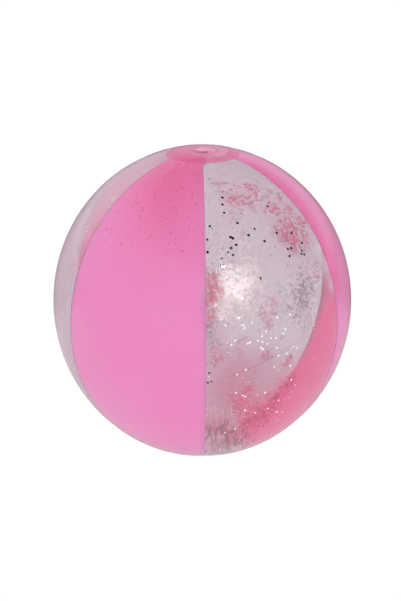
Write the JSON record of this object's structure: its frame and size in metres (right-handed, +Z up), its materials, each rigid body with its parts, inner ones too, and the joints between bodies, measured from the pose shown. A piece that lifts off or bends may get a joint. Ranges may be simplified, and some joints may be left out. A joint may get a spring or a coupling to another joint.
{
  "type": "inflatable beach ball",
  "caption": "Inflated ball of pink and clear film gores with loose glitter inside, round polar caps and a recessed plug valve.",
  "frame": {"origin": "centre of the flat patch that the ball stands on, under the lower pole", "axes": "+Z up through both poles; -Y faces the seam between the front pink and front clear panels; the plug's tether is on +X"},
  "size_m": [0.35, 0.35, 0.3688],
  "materials": {
    "pink_film": "glossy translucent PVC film",
    "clear_film": "clear glossy PVC film",
    "cap_film": "glossy translucent PVC film",
    "valve_pvc": "soft translucent moulded PVC",
    "silver_glitter": "metallised film flakes",
    "pink_glitter": "metallised pink film flakes",
    "gold_glitter": "pale gold iridescent film flakes"
  },
  "bodies": {
    "ball": {"panel_pink_front_left": "pink_film", "panel_clear_front_right": "clear_film", "panel_pink_right": "pink_film", "panel_clear_back_right": "clear_film", "panel_pink_back_left": "pink_film", "panel_clear_left": "clear_film", "top_cap": "cap_film", "bottom_cap": "cap_film", "valve_flange": "valve_pvc", "valve_collar": "valve_pvc", "glitter_silver": "silver_glitter", "glitter_pink": "pink_glitter", "glitter_gold": "gold_glitter"},
    "stem": {"valve_stem": "valve_pvc", "plug_tether": "valve_pvc"},
    "plug": {"valve_plug": "valve_pvc"},
    "flap": {"check_flap": "valve_pvc"}
  },
  "joints": [
    {"name": "valve_pop", "type": "slide", "parent": "ball", "child": "stem", "axis": [0, 0, 1], "range_m": [0, 0.013], "deforming": ["valve_collar"]},
    {"name": "plug_hinge", "type": "hinge", "parent": "stem", "child": "plug", "pos_m": [0.0105, 0, 0.36459], "axis": [0, 1, 0], "range_deg": [0, 95], "deforming": ["plug_tether"]},
    {"name": "flap_hinge", "type": "hinge", "parent": "stem", "child": "flap", "pos_m": [-0.0065, 0, 0.35089], "axis": [0, 1, 0], "range_deg": [0, 60]}
  ]
}
